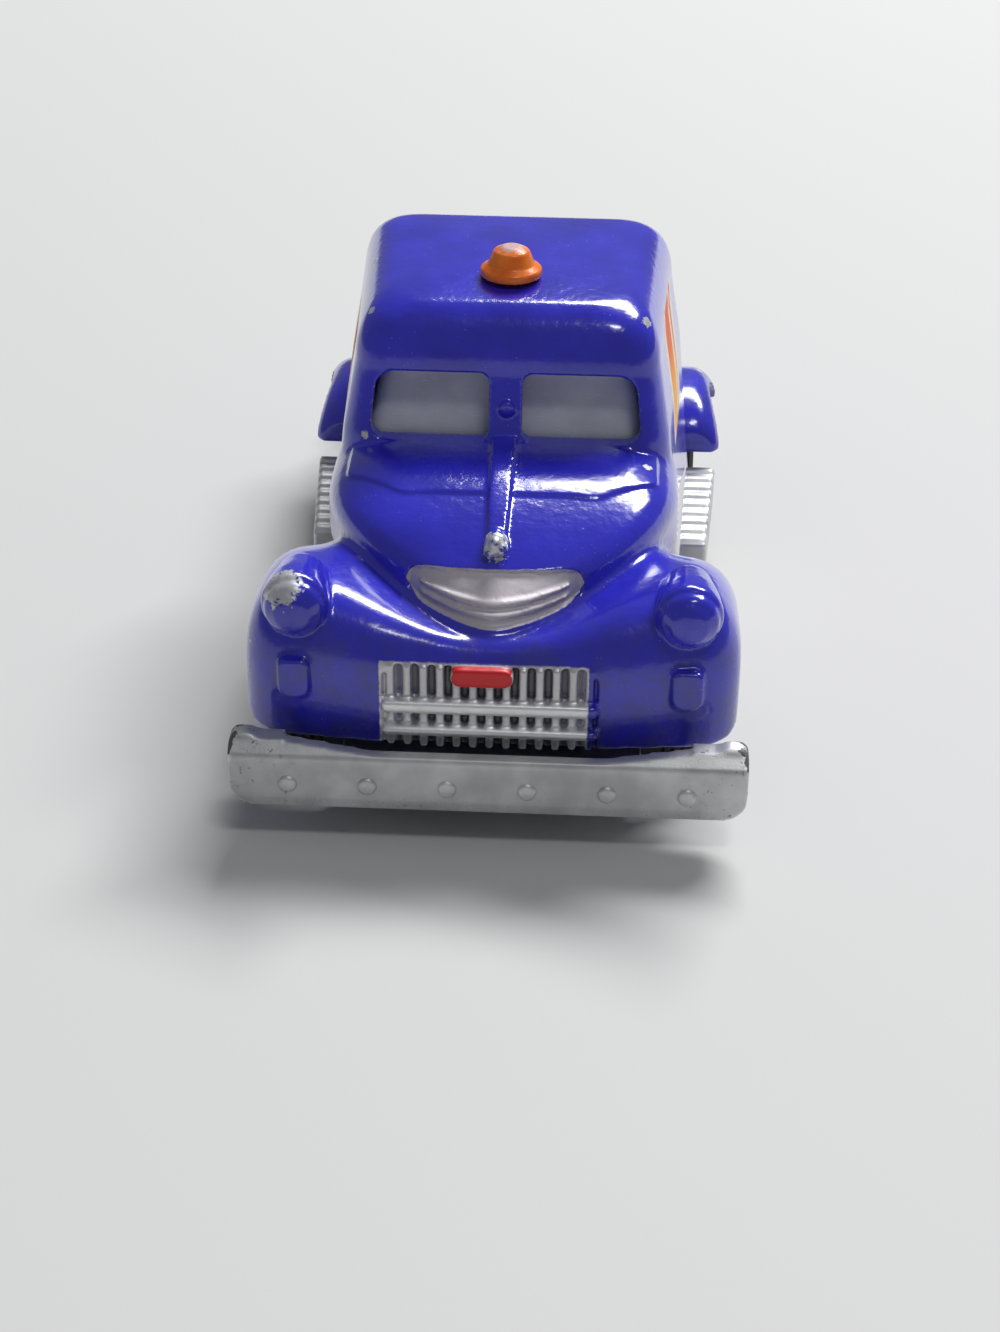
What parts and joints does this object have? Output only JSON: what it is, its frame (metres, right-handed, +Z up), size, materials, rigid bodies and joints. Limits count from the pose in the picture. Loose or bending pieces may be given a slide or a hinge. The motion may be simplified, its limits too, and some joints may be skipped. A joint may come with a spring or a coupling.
{
  "type": "toy truck",
  "caption": "Small die-cast toy truck with rounded fenders, a split windscreen, a roof beacon, an open cargo bed, ribbed side steps and free-rolling wheels.",
  "frame": {"origin": "on the ground, under the middle of the truck's bounding box", "axes": "+Z up, +Y towards the tail, +X to the truck's left"},
  "size_m": [0.032, 0.064, 0.0292],
  "materials": {
    "body_paint": "gloss blue enamel with small chips",
    "base_paint": "satin silver grey",
    "window_clear": "smoky clear plastic",
    "interior": "matte black",
    "beacon": "orange with a worn grey tip",
    "tyre": "matte black",
    "hub": "silver",
    "steel": "bare wire and rivets"
  },
  "bodies": {
    "chassis": {"cab_body": "body_paint", "cargo_bed": "body_paint", "base_plate": "base_paint", "window_insert": "window_clear", "cab_interior": "interior", "roof_beacon": "beacon", "front_axle": "steel", "rear_axle": "steel", "front_rivet": "steel", "rear_rivet": "steel"},
    "wheel_front_left": {"tyre_front_left": "tyre", "hub_front_left": "hub"},
    "wheel_front_right": {"tyre_front_right": "tyre", "hub_front_right": "hub"},
    "wheel_rear_left": {"tyre_rear_left": "tyre", "hub_rear_left": "hub"},
    "wheel_rear_right": {"tyre_rear_right": "tyre", "hub_rear_right": "hub"}
  },
  "joints": [
    {"name": "wheel_front_left_spin", "type": "hinge", "parent": "chassis", "child": "wheel_front_left", "pos_m": [0.0118, -0.02079, 0.00485], "axis": [1, 0, 0], "continuous": true},
    {"name": "wheel_front_right_spin", "type": "hinge", "parent": "chassis", "child": "wheel_front_right", "pos_m": [-0.0118, -0.02079, 0.00485], "axis": [1, 0, 0], "continuous": true},
    {"name": "wheel_rear_left_spin", "type": "hinge", "parent": "chassis", "child": "wheel_rear_left", "pos_m": [0.0118, 0.01601, 0.00485], "axis": [1, 0, 0], "continuous": true},
    {"name": "wheel_rear_right_spin", "type": "hinge", "parent": "chassis", "child": "wheel_rear_right", "pos_m": [-0.0118, 0.01601, 0.00485], "axis": [1, 0, 0], "continuous": true}
  ]
}
